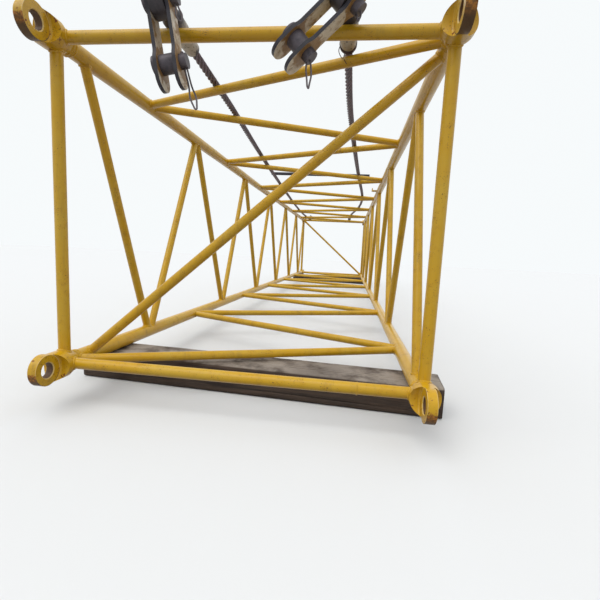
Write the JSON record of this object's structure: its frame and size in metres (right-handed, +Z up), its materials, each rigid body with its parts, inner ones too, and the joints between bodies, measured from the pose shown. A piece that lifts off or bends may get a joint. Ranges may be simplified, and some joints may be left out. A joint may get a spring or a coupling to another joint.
{
  "type": "crawler crane lattice boom section",
  "caption": "Straight tubular lattice boom section for a crawler crane, pinned lugs at one end and forks at the other, with slack rope pendants, lying on timber bearers.",
  "frame": {"origin": "on the ground, midway along the section and on its centre line", "axes": "+X across the boom, +Y along it from the tongue end to the fork end, +Z up"},
  "size_m": [1.9128, 9.278, 1.7132],
  "materials": {
    "boom_paint": "weathered yellow paint, chipped, with rust at the lugs",
    "timber": "weathered grey-brown sawn timber",
    "wire_rope": "greased dark steel wire rope",
    "socket_steel": "dull forged steel with worn light paint",
    "link_steel": "worn paint over dark steel edges",
    "pin_steel": "dark greased steel",
    "bar_steel": "dark painted steel"
  },
  "bodies": {
    "root": {"bottom_lacing": "boom_paint", "chord_bottom_left": "boom_paint", "chord_bottom_right": "boom_paint", "chord_hook": "boom_paint", "chord_top_left": "boom_paint", "chord_top_right": "boom_paint", "cross_bar": "bar_steel", "far_bearer": "timber", "far_bottom_tube": "boom_paint", "far_diagonal": "boom_paint", "far_fork_bottom_left": "boom_paint", "far_fork_bottom_right": "boom_paint", "far_fork_top_left": "boom_paint", "far_fork_top_right": "boom_paint", "far_left_post": "boom_paint", "far_right_post": "boom_paint", "far_top_tube": "boom_paint", "left_far_socket": "socket_steel", "left_lacing": "boom_paint", "left_near_socket": "socket_steel", "left_rope": "wire_rope", "left_socket_pin": "pin_steel", "near_bearer": "timber", "near_bottom_tube": "boom_paint", "near_diagonal": "boom_paint", "near_left_post": "boom_paint", "near_lug_bottom_left": "boom_paint", "near_lug_bottom_right": "boom_paint", "near_lug_top_left": "boom_paint", "near_lug_top_right": "boom_paint", "near_right_post": "boom_paint", "near_top_tube": "boom_paint", "right_far_socket": "socket_steel", "right_lacing": "boom_paint", "right_near_socket": "socket_steel", "right_rope": "wire_rope", "right_socket_pin": "pin_steel", "top_lacing": "boom_paint"},
    "left_links": {"left_link_plates": "link_steel", "left_link_pin": "pin_steel", "left_link_spacer": "pin_steel"},
    "right_links": {"right_link_plates": "link_steel", "right_link_pin": "pin_steel", "right_link_spacer": "pin_steel"}
  },
  "joints": [
    {"name": "left_link_swing", "type": "hinge", "parent": "root", "child": "left_links", "pos_m": [-0.295, -4.547, 1.64599], "axis": [-0.9845, -0.0258, -0.1736], "range_deg": [0, 150]},
    {"name": "right_link_swing", "type": "hinge", "parent": "root", "child": "right_links", "pos_m": [0.402, -4.547, 1.64404], "axis": [-0.6749, 0.0306, 0.7373], "range_deg": [0, 150]}
  ]
}
